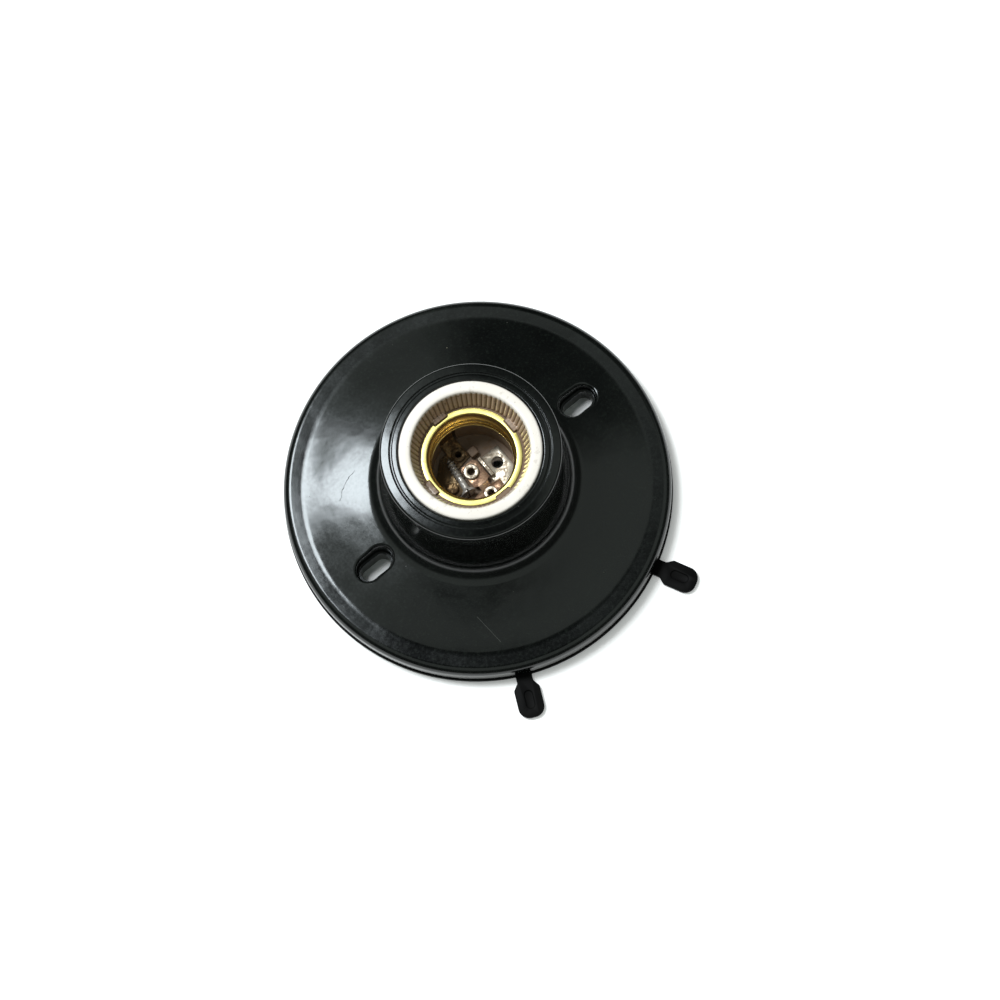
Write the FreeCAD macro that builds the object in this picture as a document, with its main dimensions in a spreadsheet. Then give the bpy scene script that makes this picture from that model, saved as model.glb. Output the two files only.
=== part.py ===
import FreeCAD, Part
import math
import os
import re
import Sketcher

# Round batten lamp holder: a black moulded housing on a backing ring, with a porcelain core that carries
# a brass screw shell, a sprung centre contact and two terminal plates.
# Frame: origin on the lamp axis in the mounting plane, +Z out towards the lamp, +X along the line of the
# two fixing slots. The backing ring's ears point to -Y. Millimetres.

SIZES = {
    # how far a cutting outline runs past the solid it trims
    "overshoot": 1.0,
    # housing
    "flange_radius": 59.5, "rim_height": 7.0, "rim_width": 5.0, "rim_side": 0.67, "rim_crown": 2.5,
    "rim_step": 0.55, "rim_wall": 4.2, "dish_rise": 4.8, "dish_wall": 3.1, "neck_foot_wall": 5.4,
    "neck_ease": 4.0, "neck_ease_in": 0.95, "neck_ease_low": 1.8, "neck_ease_high": 5.0, "neck_draft": 0.58,
    "waist_wall": 3.8, "collar_wall": 5.5, "collar_height": 5.5, "collar_flare": 1.4, "collar_ease": 0.6,
    "collar_inner_drop": 0.5, "collar_outer_drop": 1.1, "socket_height": 46.5, "shoulder_height": 22.0,
    "cavity_gap": 1.7, "cavity_height": 16.5, "cavity_flare": 7.7, "boss_reach": 4.8, "boss_width": 6.0,
    "boss_height": 6.3, "pilot_radius": 1.15, "pilot_depth": 5.4,
    # fixing slots
    "slot_pitch": 80.0, "well_length": 12.2, "well_width": 7.6, "well_ease": 0.8, "seat_height": 6.5,
    "slot_length": 10.2, "slot_width": 5.4, "pillar_wall": 2.0,
    # backing ring
    "ring_thickness": 1.6, "ring_width": 12.6, "ring_overhang": 0.35, "ring_gap": 0.6,
    "ear_angle": 26.0, "ear_reach": 13.2,
    "ear_width": 8.0, "ear_length": 11.0, "ear_neck_width": 5.0, "ear_recess_length": 5.6,
    "ear_recess_width": 2.6, "ear_recess_depth": 0.4, "ear_round": 3.4, "ear_shoulder_round": 1.0,
    # porcelain core
    "core_radius": 21.25, "core_gap": 0.25, "core_base_radius": 23.4, "core_bottom": 6.6,
    "funnel_radius": 17.9, "flute_count": 72, "flute_depth": 0.45,
    "flute_width": 1.62, "lip_depth": 7.5, "seat_radius": 15.55, "seat_wall": 0.7, "bore_radius": 13.0,
    "floor_height": 18.0, "recess_radius": 17.5, "recess_top": 13.0,
    "lug_width": 4.6, "lug_inner": 14.35, "lug_height": 0.95, "channel_width": 6.0, "channel_radius": 14.5,
    "channel_top": 34.5, "ear_hole_radius": 1.7, "core_ear_length": 5.2, "core_ear_width": 6.4,
    "core_ear_thickness": 3.6, "core_ear_root": 0.5, "core_screw_offset": 2.8,
    # floor of the core: rivet, screw and wire holes, and a small block beside the contact
    "rivet_hole": 1.5, "contact_rivet_y": -7.8, "shell_rivet_y": 8.1, "screw_x": -8.0, "screw_y": 0.9,
    "screw_relief": 1.7, "wire_x": 7.7, "wire_y": -1.2, "wire_hole": 1.8, "wire_relief": 2.1,
    "rear_wire_x": -8.2, "rear_wire_y": -6.6, "block_x": 3.9, "block_y": 5.8, "block_size": 2.7,
    "block_height": 2.4,
    # screw shell
    "shell_bore": 13.25, "shell_wall": 0.35, "lip_radius": 15.3, "shell_height": 9.8, "shell_foot_bore": 12.5,
    "notch_width": 5.4, "notch_inner": 14.0, "shell_seat_gap": 0.3, "shell_notches": 4,
    # sheet parts on the floor
    "plate": 0.6, "strap": 0.5, "strap_width": 5.0, "strap_gap": 0.02, "strap_height": 15.5,
    "strap_foot_end": 6.2, "ridge_x": 3.3, "ridge_width": 1.3, "ridge_height": 2.3, "ridge_low": -3.8,
    "ridge_high": 3.0, "ridge_round": 0.4, "neutral_margin": 3.2, "neutral_low": 2.9, "neutral_high": 3.4,
    "neutral_taper": 0.8, "line_arm": 2.4, "line_corner": 1.4, "line_margin": 3.4, "line_low": 4.5,
    # centre contact and its fixings
    "contact_sheet": 0.5, "contact_lift": 0.35, "contact_height": 20.0, "contact_half": 2.9,
    "contact_end": 3.9, "contact_bend": -3.9, "foot_end": -9.7, "foot_bend": -5.9, "foot_half": 4.8,
    "tongue_half": 1.7, "foot_hole": 1.95, "dimple_x": 3.2, "dimple_y": -7.6, "dimple_radius": 0.8,
    "button_x": -0.6, "button_y": 1.0, "button_radius": 2.45, "button_bore": 1.05, "button_height": 0.85,
    "button_shank": 1.55, "button_foot": 2.2, "button_ease": 0.3, "button_foot_height": 0.35,
    # rivets, washers and screws
    "rivet_radius": 1.45, "rivet_bore": 1.0, "rivet_head": 2.2, "rivet_head_height": 0.5, "rivet_ease": 0.3,
    "contact_rivet_lift": 0.4, "washer_radius": 3.0, "washer_height": 0.5, "washer_gap": 0.05,
    "screw_head_radius": 1.8, "screw_head_height": 1.3, "screw_ease": 0.5, "screw_shank": 1.2,
    "screw_tip": 13.6, "driver_slot": 0.5, "driver_depth": 0.7,
    "core_screw_head": 2.5, "core_screw_head_height": 1.8, "core_screw_shank": 1.1, "core_screw_grip": 4.6,
    "core_washer_radius": 2.9,
    # loose tapered screw
    "loose_length": 11.4, "loose_root": 1.0, "loose_tip": 0.45, "loose_head": 2.5, "loose_head_height": 1.7,
    "loose_head_edge": 0.35, "loose_tip_x": -3.3, "loose_tip_y": 8.9, "loose_angle": 189.2,
    "loose_rest": 0.06,
}

doc = FreeCAD.newDocument("lamp_holder")
sheet = doc.addObject("Spreadsheet::Sheet", "Sizes")
for row, (alias, size) in enumerate(SIZES.items(), start=1):
    sheet.set("A%d" % row, alias)
    sheet.set("B%d" % row, str(size))
    sheet.setAlias("B%d" % row, alias)
doc.recompute()

WORD = re.compile(r"[a-z][a-z_]+")
PARTS = []

# Places that several pieces share, worked out from the sizes.
RING_RADIUS = "flange_radius + ring_overhang"
RIM_TOP = "ring_thickness + rim_height"
DISH_EDGE = "flange_radius - rim_width"
DISH_LOW = RIM_TOP + " - rim_step"
DISH_TOP = DISH_LOW + " + dish_rise"
COLLAR_OUTER_TOP = "socket_height - collar_outer_drop"
COLLAR_INNER_TOP = "socket_height - collar_inner_drop"
COLLAR_LOW = COLLAR_OUTER_TOP + " - collar_height"
COLLAR_BORE = "core_radius + core_gap"
COLLAR_RADIUS = COLLAR_BORE + " + collar_wall"
WAIST_RADIUS = COLLAR_BORE + " + waist_wall"
NECK_FOOT = "core_base_radius + neck_foot_wall"
CAVITY_RADIUS = "core_base_radius + cavity_gap"
CORE_SCREW = "(core_base_radius + core_screw_offset)"
LIP_TOP = "socket_height - lip_depth"
LIP_SEAT = LIP_TOP + " - shell_wall"
SHELL_LOW = LIP_TOP + " - shell_height"
SHELL_OUTER = "shell_bore + shell_wall"
PLATE_TOP = "floor_height + plate"
FOOT_LOW = PLATE_TOP + " + contact_lift"
EAR_TOP = "core_bottom + core_ear_thickness"
PILLAR_LENGTH = "well_length + 2 * pillar_wall"
PILLAR_WIDTH = "well_width + 2 * pillar_wall"


def number(expression):
    """Value of an expression in the named sizes."""
    filled = WORD.sub(lambda word: "(%r)" % SIZES[word.group(0)], expression)
    return FreeCAD.Units.Quantity(filled).Value


def bind(target, prop, expression):
    target.setExpression(prop, WORD.sub(lambda word: "Sizes." + word.group(0), expression))


def body(label):
    piece = doc.addObject("PartDesign::Body", label)
    piece.Label = label
    PARTS.append(piece)
    return piece


def sketch(piece, name, plane, height="0"):
    """Sketch on one of the body's own origin planes, lifted along the plane's normal."""
    made = piece.newObject("Sketcher::SketchObject", name)
    origin = [item for item in piece.Origin.OriginFeatures if item.Role == plane]
    made.AttachmentSupport = [(origin[0], "")]
    made.MapMode = "FlatFace"
    if height != "0":
        made.AttachmentOffset = FreeCAD.Placement(FreeCAD.Vector(0, 0, number(height)), FreeCAD.Rotation())
        bind(made, "AttachmentOffset.Base.z", height)
    return made


def pin(made, geometry, point, across, along):
    """Hold one point at its driven place from the sketch's origin."""
    for kind, expression, axis in (("DistanceX", across, -2), ("DistanceY", along, -1)):
        if expression == "0":
            made.addConstraint(Sketcher.Constraint("PointOnObject", geometry, point, axis))
        else:
            index = made.addConstraint(
                Sketcher.Constraint(kind, -1, 1, geometry, point, number(expression)))
            bind(made, "Constraints[%d]" % index, expression)


def circle(made, radius, across="0", along="0"):
    centre = FreeCAD.Vector(number(across), number(along), 0)
    index = made.addGeometry(Part.Circle(centre, FreeCAD.Vector(0, 0, 1), number(radius)))
    pin(made, index, 3, across, along)
    size = made.addConstraint(Sketcher.Constraint("Radius", index, number(radius)))
    bind(made, "Constraints[%d]" % size, radius)


def outline(made, corners):
    """Closed outline through (across, along[, radius]) corners; a radius rounds its corner."""
    spots = [FreeCAD.Vector(number(corner[0]), number(corner[1]), 0) for corner in corners]
    count = len(corners)
    arrive, leave = list(spots), list(spots)
    for i, corner in enumerate(corners):
        if len(corner) == 3:
            back = (spots[i - 1] - spots[i]).normalize()
            ahead = (spots[(i + 1) % count] - spots[i]).normalize()
            reach = number(corner[2]) / math.tan(back.getAngle(ahead) / 2)
            arrive[i] = spots[i] + back * reach
            leave[i] = spots[i] + ahead * reach
    lines = [made.addGeometry(Part.LineSegment(leave[i], arrive[(i + 1) % count])) for i in range(count)]
    for i, corner in enumerate(corners):
        before, after = lines[i - 1], lines[i]
        if len(corner) == 2:
            made.addConstraint(Sketcher.Constraint("Coincident", before, 2, after, 1))
            pin(made, after, 1, corner[0], corner[1])
            continue
        turn = (arrive[i] - spots[i]).cross(leave[i] - spots[i]).z
        middle = (arrive[i] + leave[i]) * 0.5 - spots[i]
        half = (arrive[i] - leave[i]).Length / 2
        reach = (arrive[i] - spots[i]).Length
        centre = spots[i] + middle * (reach ** 2 / middle.Length ** 2)
        rim = Part.Circle(centre, FreeCAD.Vector(0, 0, 1), half * reach / middle.Length)
        ends = (arrive[i], leave[i]) if turn < 0 else (leave[i], arrive[i])
        angles = [math.atan2(end.y - centre.y, end.x - centre.x) for end in ends]
        arc = made.addGeometry(Part.ArcOfCircle(rim, angles[0], angles[1]))
        joint = made.addGeometry(Part.Point(spots[i]), True)
        pin(made, joint, 1, corner[0], corner[1])
        made.addConstraint(Sketcher.Constraint("PointOnObject", joint, 1, before))
        made.addConstraint(Sketcher.Constraint("PointOnObject", joint, 1, after))
        made.addConstraint(Sketcher.Constraint("Tangent", before, 2, arc, 1 if turn < 0 else 2))
        made.addConstraint(Sketcher.Constraint("Tangent", after, 1, arc, 2 if turn < 0 else 1))
        size = made.addConstraint(Sketcher.Constraint("Radius", arc, number(corner[2])))
        bind(made, "Constraints[%d]" % size, corner[2])


def rectangle(made, left, low, right, high):
    outline(made, [(left, low), (right, low), (right, high), (left, high)])


def stadium(made, across, along, length, width):
    """Slot outline that lies along the sketch's first axis."""
    radius = number(width) / 2
    half = number(length) / 2 - radius
    x, y = number(across), number(along)
    up = FreeCAD.Vector(0, 0, 1)
    right = made.addGeometry(Part.ArcOfCircle(
        Part.Circle(FreeCAD.Vector(x + half, y, 0), up, radius), -math.pi / 2, math.pi / 2))
    left = made.addGeometry(Part.ArcOfCircle(
        Part.Circle(FreeCAD.Vector(x - half, y, 0), up, radius), math.pi / 2, 3 * math.pi / 2))
    top = made.addGeometry(Part.LineSegment(
        FreeCAD.Vector(x + half, y + radius, 0), FreeCAD.Vector(x - half, y + radius, 0)))
    low = made.addGeometry(Part.LineSegment(
        FreeCAD.Vector(x - half, y - radius, 0), FreeCAD.Vector(x + half, y - radius, 0)))
    made.addConstraint(Sketcher.Constraint("Tangent", right, 2, top, 1))
    made.addConstraint(Sketcher.Constraint("Tangent", top, 2, left, 1))
    made.addConstraint(Sketcher.Constraint("Tangent", left, 2, low, 1))
    made.addConstraint(Sketcher.Constraint("Tangent", low, 2, right, 1))
    made.addConstraint(Sketcher.Constraint("Equal", right, left))
    pin(made, right, 3, "%s + ((%s) - (%s)) / 2" % (across, length, width), along)
    pin(made, left, 3, "%s - ((%s) - (%s)) / 2" % (across, length, width), along)
    size = made.addConstraint(Sketcher.Constraint("Radius", right, radius))
    bind(made, "Constraints[%d]" % size, "(%s) / 2" % width)


def feature(piece, kind, name, made, **settings):
    """Sketch-based feature; a string setting is an expression in the named sizes."""
    built = piece.newObject("PartDesign::" + kind, name)
    built.Profile = made
    for prop, setting in settings.items():
        if isinstance(setting, str) and prop == "Length":
            setattr(built, prop, number(setting))
            bind(built, prop, setting)
        else:
            setattr(built, prop, setting)
    made.Visibility = False
    return built


def turned(piece, name, corners):
    """Solid of revolution about Z from a half section of (radius, height) corners."""
    made = sketch(piece, name + "_section", "XZ_Plane")
    outline(made, corners)
    return feature(piece, "Revolution", name, made, ReferenceAxis=(made, ["V_Axis"]), Angle=360.0)


def cut(piece, name, made, depth, upwards=False):
    """Pocket from the sketch's plane, down unless it is told to go upwards."""
    before = piece.Shape.Volume
    pocket = feature(piece, "Pocket", name, made, Length=depth, Reversed=upwards)
    doc.recompute()
    if not piece.Shape.Volume < before - 1e-4:
        raise ValueError(piece.Label + ": " + name + " cuts nothing")
    return pocket


def around(piece, name, original, count, angle="360"):
    """Polar pattern of one feature about the body's Z axis."""
    pattern = piece.newObject("PartDesign::PolarPattern", name)
    pattern.Originals = [original]
    axis = [item for item in piece.Origin.OriginFeatures if item.Role == "Z_Axis"]
    pattern.Axis = (axis[0], [""])
    pattern.Angle = float(angle)
    pattern.Occurrences = int(number(count))
    bind(pattern, "Occurrences", count)
    piece.Tip = pattern
    return pattern


def housing():
    piece = body("housing")
    turned(piece, "shell_moulding", [
        ("flange_radius", "ring_thickness"),
        ("flange_radius", RIM_TOP + " - rim_width"),
        ("flange_radius - rim_side", RIM_TOP + " - rim_crown"),
        ("flange_radius - rim_crown", RIM_TOP + " - rim_side"),
        (DISH_EDGE, RIM_TOP),
        (DISH_EDGE + " - rim_step / 2", DISH_LOW),
        (NECK_FOOT + " + neck_ease", DISH_TOP),
        (NECK_FOOT + " + neck_ease_in", DISH_TOP + " + neck_ease_low"),
        (NECK_FOOT + " - neck_draft", DISH_TOP + " + neck_ease_high"),
        (WAIST_RADIUS, COLLAR_LOW + " - collar_flare"),
        (COLLAR_RADIUS, COLLAR_LOW),
        (COLLAR_RADIUS, COLLAR_OUTER_TOP + " - collar_ease"),
        (COLLAR_RADIUS + " - collar_ease", COLLAR_OUTER_TOP),
        (COLLAR_BORE, COLLAR_INNER_TOP),
        (COLLAR_BORE, "shoulder_height"),
        (CAVITY_RADIUS, "shoulder_height"),
        (CAVITY_RADIUS, "cavity_height"),
        (CAVITY_RADIUS + " + cavity_flare", DISH_TOP + " - dish_wall"),
        (DISH_EDGE + " - rim_wall / 2", DISH_LOW + " - dish_wall"),
        ("flange_radius - rim_wall", DISH_LOW + " - dish_wall - rim_step * 2"),
        ("flange_radius - rim_wall", "ring_thickness"),
    ])
    doc.recompute()
    for side, spot in (("right", "slot_pitch / 2"), ("left", "-slot_pitch / 2")):
        pillar = sketch(piece, side + "_pillar_outline", "XY_Plane")
        stadium(pillar, spot, "0", PILLAR_LENGTH, PILLAR_WIDTH)
        feature(piece, "Pad", side + "_pillar", pillar, Type="UpToFirst")
        doc.recompute()
        well = sketch(piece, side + "_well_outline", "XY_Plane", DISH_TOP)
        stadium(well, spot, "0", "well_length", "well_width")
        cut(piece, side + "_well", well, DISH_TOP + " - seat_height")
        slot = sketch(piece, side + "_slot_outline", "XY_Plane", "seat_height")
        stadium(slot, spot, "0", "slot_length", "slot_width")
        cut(piece, side + "_slot", slot, "seat_height")
    ease_wells(piece)
    for side, sign in (("back", ""), ("front", "-")):
        boss = sketch(piece, side + "_boss_outline", "XY_Plane", EAR_TOP)
        rectangle(boss, "-boss_width / 2", sign + "(core_base_radius + core_gap)", "boss_width / 2",
                  sign + "(core_base_radius + boss_reach)")
        feature(piece, "Pad", side + "_boss", boss, Length="boss_height")
        doc.recompute()
        pilot = sketch(piece, side + "_pilot_outline", "XY_Plane", EAR_TOP)
        circle(pilot, "pilot_radius", "0", sign + CORE_SCREW)
        cut(piece, side + "_pilot", pilot, "pilot_depth", upwards=True)
    return piece


def dish_height(radius):
    """Height of the dished face at a radius."""
    outer, inner = number(DISH_EDGE + " - rim_step / 2"), number(NECK_FOOT + " + neck_ease")
    return number(DISH_LOW) + number("dish_rise") * (outer - radius) / (outer - inner)


def ease_wells(piece):
    """Soft mouths of the two wells: the edges where the wells break the dished face."""
    reach = number("slot_pitch / 2 + well_length / 2 + well_ease")
    names = []
    for index, edge in enumerate(piece.Shape.Edges, start=1):
        spots = [edge.valueAt(edge.FirstParameter + share * (edge.LastParameter - edge.FirstParameter))
                 for share in (0.1, 0.5, 0.9)]
        on_dish = all(abs(spot.z - dish_height(math.hypot(spot.x, spot.y))) < 0.02 for spot in spots)
        near_well = all(abs(spot.y) < number("well_width") and abs(spot.x) < reach for spot in spots)
        on_seam = all(abs(spot.y) < 0.01 for spot in spots)
        if on_dish and near_well and not on_seam:
            names.append("Edge%d" % index)
    dished = piece.Tip
    mouth = piece.newObject("PartDesign::Chamfer", "well_mouths")
    mouth.Base = (dished, names)
    mouth.Size = number("well_ease")
    bind(mouth, "Size", "well_ease")
    piece.Tip = mouth
    doc.recompute()


def backing_ring():
    piece = body("backing_ring")
    disc = sketch(piece, "ring_outline", "XY_Plane")
    circle(disc, RING_RADIUS)
    circle(disc, "flange_radius - ring_width")
    feature(piece, "Pad", "ring", disc, Length="ring_thickness")
    doc.recompute()
    for side, spot in (("right", "slot_pitch / 2"), ("left", "-slot_pitch / 2")):
        relief = sketch(piece, side + "_relief_outline", "XY_Plane", "ring_thickness")
        stadium(relief, spot, "0", PILLAR_LENGTH + " + 2 * ring_gap", PILLAR_WIDTH + " + 2 * ring_gap")
        feature(piece, "Pocket", side + "_relief", relief, Length="ring_thickness")
    for side, sign in (("right", 1), ("left", -1)):
        ear = sketch(piece, side + "_ear_outline", "XY_Plane")
        ear_outline(ear, sign)
        feature(piece, "Pad", side + "_ear", ear, Length="ring_thickness")
        doc.recompute()
        recess = sketch(piece, side + "_recess_outline", "XY_Plane", "ring_thickness")
        recess_outline(recess, sign)
        cut(piece, side + "_recess", recess, "ear_recess_depth")
    return piece


def turn_sketch(made, sign):
    """Turn a sketch about Z so that its first axis points along an ear."""
    angle = "-90 + %d * ear_angle" % sign
    place = made.AttachmentOffset
    made.AttachmentOffset = FreeCAD.Placement(
        place.Base, FreeCAD.Rotation(FreeCAD.Vector(0, 0, 1), number(angle)))
    bind(made, "AttachmentOffset.Rotation.Angle", angle)


def ear_outline(made, sign):
    """Paddle with a narrow neck: it starts inside the ring and is drawn along the first axis."""
    turn_sketch(made, sign)
    tip = RING_RADIUS + " + ear_reach"
    outline(made, [
        (RING_RADIUS + " - ring_thickness", "-ear_neck_width / 2"),
        (tip + " - ear_length", "-ear_neck_width / 2"),
        (tip + " - ear_length + ear_width / 4", "-ear_width / 2", "ear_shoulder_round"),
        (tip, "-ear_width / 2", "ear_round"),
        (tip, "ear_width / 2", "ear_round"),
        (tip + " - ear_length + ear_width / 4", "ear_width / 2", "ear_shoulder_round"),
        (tip + " - ear_length", "ear_neck_width / 2"),
        (RING_RADIUS + " - ring_thickness", "ear_neck_width / 2"),
    ])


def recess_outline(made, sign):
    turn_sketch(made, sign)
    stadium(made, RING_RADIUS + " + ear_reach - ear_length / 2", "0", "ear_recess_length", "ear_recess_width")


def porcelain_core():
    piece = body("porcelain_core")
    turned(piece, "core_blank", [
        ("0", "recess_top"),
        ("recess_radius", "recess_top"),
        ("recess_radius", "core_bottom"),
        ("core_base_radius", "core_bottom"),
        ("core_base_radius", "shoulder_height"),
        ("core_radius", "shoulder_height"),
        ("core_radius", "socket_height"),
        ("funnel_radius", "socket_height"),
        ("seat_radius", LIP_SEAT),
        (SHELL_OUTER + " + shell_seat_gap", LIP_SEAT),
        (SHELL_OUTER + " + shell_seat_gap", SHELL_LOW + " - shell_seat_gap"),
        ("bore_radius", SHELL_LOW + " - shell_seat_gap"),
        ("bore_radius", "floor_height"),
        ("0", "floor_height"),
    ])
    doc.recompute()
    for side, sign in (("back", ""), ("front", "-")):
        ear = sketch(piece, side + "_ear_outline", "XY_Plane", "core_bottom")
        rectangle(ear, "-core_ear_width / 2", sign + "(recess_radius + core_ear_root)", "core_ear_width / 2",
                  sign + "(core_base_radius + core_ear_length)")
        feature(piece, "Pad", side + "_ear", ear, Length="core_ear_thickness")
        doc.recompute()
        hole = sketch(piece, side + "_ear_hole_outline", "XY_Plane", EAR_TOP)
        circle(hole, "ear_hole_radius", "0", sign + CORE_SCREW)
        cut(piece, side + "_ear_hole", hole, "core_ear_thickness")
    channel = sketch(piece, "channel_outline", "XY_Plane", "channel_top")
    rectangle(channel, "-channel_width / 2", "bore_radius - overshoot", "channel_width / 2", "channel_radius")
    cut(piece, "channel", channel, "channel_top - floor_height")
    for name, radius, across, along in (
            ("contact_rivet", "rivet_hole", "0", "contact_rivet_y"),
            ("shell_rivet", "rivet_hole", "0", "shell_rivet_y"),
            ("screw", "screw_relief", "screw_x", "screw_y"),
            ("wire", "wire_relief", "wire_x", "wire_y"),
            ("rear_wire", "wire_relief", "rear_wire_x", "rear_wire_y")):
        hole = sketch(piece, name + "_hole_outline", "XY_Plane", "floor_height")
        circle(hole, radius, across, along)
        cut(piece, name + "_hole", hole, "floor_height - recess_top")
    block = sketch(piece, "block_outline", "XY_Plane", "floor_height")
    rectangle(block, "block_x - block_size / 2", "block_y - block_size / 2",
              "block_x + block_size / 2", "block_y + block_size / 2")
    feature(piece, "Pad", "block", block, Length="block_height")
    for name, corners in (
            ("right", ("lug_inner", "-lug_width / 2", "seat_radius + seat_wall", "lug_width / 2")),
            ("left", ("-(seat_radius + seat_wall)", "-lug_width / 2", "-lug_inner", "lug_width / 2")),
            ("back", ("-lug_width / 2", "lug_inner", "lug_width / 2", "seat_radius + seat_wall"))):
        lug = sketch(piece, name + "_lug_outline", "XY_Plane", LIP_SEAT)
        rectangle(lug, *corners)
        feature(piece, "Pad", name + "_lug", lug, Length="lug_height")
    doc.recompute()
    flute_funnel(piece)
    return piece


def flute_funnel(piece):
    """One V flute, cut parallel to the funnel's slope, repeated all round."""
    slope = FreeCAD.Vector(number("seat_radius - funnel_radius"), 0, number(LIP_SEAT + " - socket_height"))
    flute = sketch(piece, "flute_outline", "XY_Plane", "socket_height")
    outline(flute, [
        ("funnel_radius - flute_depth", "-flute_width"),
        ("funnel_radius + flute_depth", "0"),
        ("funnel_radius - flute_depth", "flute_width"),
    ])
    pocket = feature(piece, "Pocket", "flute", flute, Length=slope.Length)
    pocket.UseCustomVector = True
    pocket.AlongSketchNormal = False
    pocket.Direction = slope.normalize()
    doc.recompute()
    around(piece, "flutes", pocket, "flute_count")
    doc.recompute()


def screw_shell():
    piece = body("screw_shell")
    turned(piece, "cup", [
        ("shell_foot_bore", SHELL_LOW),
        (SHELL_OUTER, SHELL_LOW),
        (SHELL_OUTER, LIP_SEAT),
        ("lip_radius", LIP_SEAT),
        ("lip_radius", LIP_TOP),
        ("shell_bore", LIP_TOP),
        ("shell_bore", SHELL_LOW + " + shell_wall"),
        ("shell_foot_bore", SHELL_LOW + " + shell_wall"),
    ])
    doc.recompute()
    notch = sketch(piece, "notch_outline", "XY_Plane", LIP_TOP)
    rectangle(notch, "notch_inner", "-notch_width / 2", "lip_radius + overshoot", "notch_width / 2")
    pocket = cut(piece, "notch", notch, "shell_wall")
    around(piece, "notches", pocket, "shell_notches")
    doc.recompute()
    return piece


def shell_strap():
    """Strip bent in an L: the leg stands against the shell, the foot lies on the neutral plate."""
    piece = body("shell_strap")
    face = SHELL_OUTER + " + strap_gap"
    section = sketch(piece, "bend_section", "YZ_Plane")
    outline(section, [
        ("strap_foot_end", PLATE_TOP),
        (face + " + strap", PLATE_TOP, "strap * 2"),
        (face + " + strap", PLATE_TOP + " + strap_height"),
        (face, PLATE_TOP + " + strap_height"),
        (face, PLATE_TOP + " + strap", "strap"),
        ("strap_foot_end", PLATE_TOP + " + strap"),
    ])
    feature(piece, "Pad", "strip", section, Length="strap_width", Midplane=True)
    doc.recompute()
    hole = sketch(piece, "hole_outline", "XY_Plane", PLATE_TOP + " + strap")
    circle(hole, "rivet_hole", "0", "shell_rivet_y")
    cut(piece, "hole", hole, "strap")
    return piece


def neutral_plate():
    piece = body("neutral_plate")
    plan = sketch(piece, "plate_outline", "XY_Plane", "floor_height")
    inner, outer = "shell_rivet_y - strap_width / 2", "shell_rivet_y + strap_width / 2"
    outline(plan, [
        ("screw_x - neutral_margin", "screw_y - neutral_low"),
        ("screw_x + neutral_margin", "screw_y - neutral_low"),
        ("screw_x + neutral_margin", "screw_y + neutral_high"),
        ("strap_width / 2 - strap_gap", inner),
        ("strap_width / 2 - strap_gap", outer),
        ("-strap_width", outer),
        ("screw_x - neutral_margin", "screw_y + neutral_high + neutral_taper"),
    ])
    feature(piece, "Pad", "plate", plan, Length="plate")
    doc.recompute()
    for name, radius, across, along in (("screw", "screw_shank + washer_gap", "screw_x", "screw_y"),
                                        ("rivet", "rivet_hole", "0", "shell_rivet_y")):
        hole = sketch(piece, name + "_hole_outline", "XY_Plane", PLATE_TOP)
        circle(hole, radius, across, along)
        cut(piece, name + "_hole", hole, "plate")
    return piece


def line_plate():
    """Flat plate with an arm to the contact rivet and a hemmed ridge that stands beside the contact."""
    piece = body("line_plate")
    plan = sketch(piece, "plate_outline", "XY_Plane", "floor_height")
    outline(plan, [
        ("-foot_half + ridge_width", "contact_rivet_y - line_arm"),
        ("wire_x - line_corner", "contact_rivet_y - line_arm"),
        ("wire_x + line_margin", "wire_y - line_low"),
        ("wire_x + line_margin", "ridge_high"),
        ("ridge_x", "ridge_high"),
        ("ridge_x", "contact_rivet_y + line_arm"),
        ("-foot_half + ridge_width", "contact_rivet_y + line_arm"),
    ])
    feature(piece, "Pad", "plate", plan, Length="plate")
    doc.recompute()
    fold = sketch(piece, "ridge_section", "XZ_Plane", "-ridge_low")
    outline(fold, [
        ("ridge_x", "floor_height + plate / 2"),
        ("ridge_x + ridge_width", "floor_height + plate / 2"),
        ("ridge_x + ridge_width", PLATE_TOP + " + ridge_height", "ridge_round"),
        ("ridge_x + ridge_width / 2", PLATE_TOP + " + ridge_height - ridge_width / 4"),
        ("ridge_x", PLATE_TOP + " + ridge_height", "ridge_round"),
    ])
    feature(piece, "Pad", "ridge", fold, Length="ridge_high - ridge_low", Reversed=True)
    doc.recompute()
    for name, radius, across, along in (("wire", "wire_hole", "wire_x", "wire_y"),
                                        ("rivet", "rivet_hole", "0", "contact_rivet_y")):
        hole = sketch(piece, name + "_hole_outline", "XY_Plane", PLATE_TOP)
        circle(hole, radius, across, along)
        cut(piece, name + "_hole", hole, "plate")
    return piece


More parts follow.
